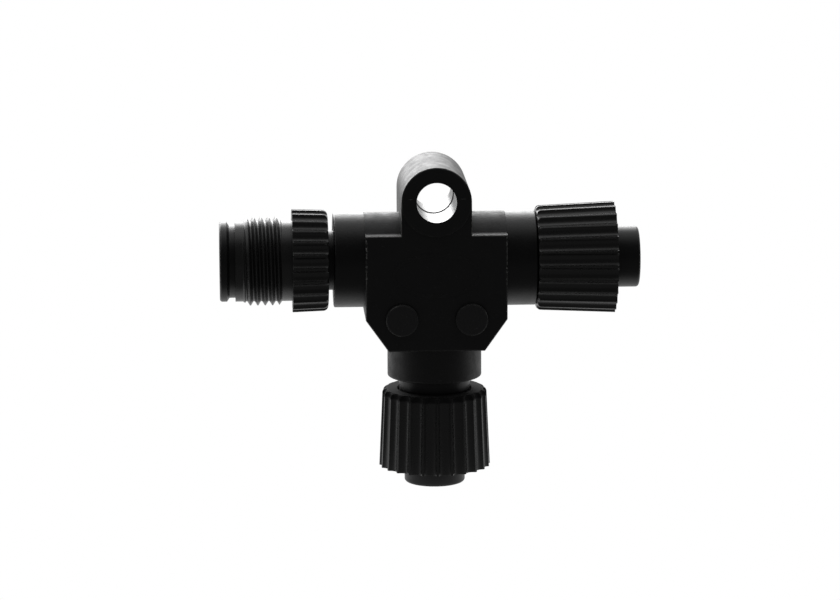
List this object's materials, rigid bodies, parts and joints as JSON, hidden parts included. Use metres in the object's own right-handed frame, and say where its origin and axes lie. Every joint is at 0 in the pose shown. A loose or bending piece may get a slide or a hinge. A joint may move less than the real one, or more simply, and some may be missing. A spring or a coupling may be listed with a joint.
{
  "type": "m12 tee connector",
  "caption": "Black moulded T-shaped M12 network tee: a male port, two female ports with fluted coupling nuts, and a mounting eye.",
  "frame": {"origin": "middle of the mounting eye's bore, half way through the body's depth", "axes": "+X along the run from the male port to the female port, -Z along the drop port, -Y out of the front face with the two round posts"},
  "size_m": [0.0569, 0.0152, 0.0445],
  "materials": {
    "body_plastic": "fine moulded grain, matt black",
    "nut_plastic": "satin black nylon",
    "insert_plastic": "smooth satin black",
    "core_plastic": "rough matt black",
    "seal_rubber": "smooth nitrile rubber",
    "contact_gold": "bright gold plate",
    "strip_brass": "bare stamped brass"
  },
  "bodies": {
    "tee": {"tee_body": "body_plastic", "inner_core": "core_plastic", "bus_strip_1": "strip_brass", "bus_strip_2": "strip_brass", "bus_strip_3": "strip_brass", "bus_strip_4": "strip_brass", "bus_strip_5": "strip_brass", "pin_carrier": "insert_plastic", "pin_1": "contact_gold", "pin_2": "contact_gold", "pin_3": "contact_gold", "pin_4": "contact_gold", "pin_5": "contact_gold", "run_socket_carrier": "insert_plastic", "run_socket_1": "contact_gold", "run_socket_2": "contact_gold", "run_socket_3": "contact_gold", "run_socket_4": "contact_gold", "run_socket_5": "contact_gold", "drop_socket_carrier": "insert_plastic", "drop_socket_1": "contact_gold", "drop_socket_2": "contact_gold", "drop_socket_3": "contact_gold", "drop_socket_4": "contact_gold", "drop_socket_5": "contact_gold", "run_seal": "seal_rubber", "drop_seal": "seal_rubber"},
    "sleeve": {"threaded_sleeve": "nut_plastic"},
    "run_coupling": {"run_nut": "nut_plastic"},
    "drop_coupling": {"drop_nut": "nut_plastic"}
  },
  "joints": [
    {"name": "sleeve_spin", "type": "hinge", "parent": "tee", "child": "sleeve", "pos_m": [-0.0137, 0, -0.0089], "axis": [-1, 0, 0], "continuous": true},
    {"name": "run_nut_spin", "type": "hinge", "parent": "tee", "child": "run_coupling", "pos_m": [0.0137, 0, -0.0089], "axis": [1, 0, 0], "continuous": true},
    {"name": "drop_nut_spin", "type": "hinge", "parent": "tee", "child": "drop_coupling", "pos_m": [0, 0, -0.02571], "axis": [0, 0, -1], "continuous": true}
  ]
}
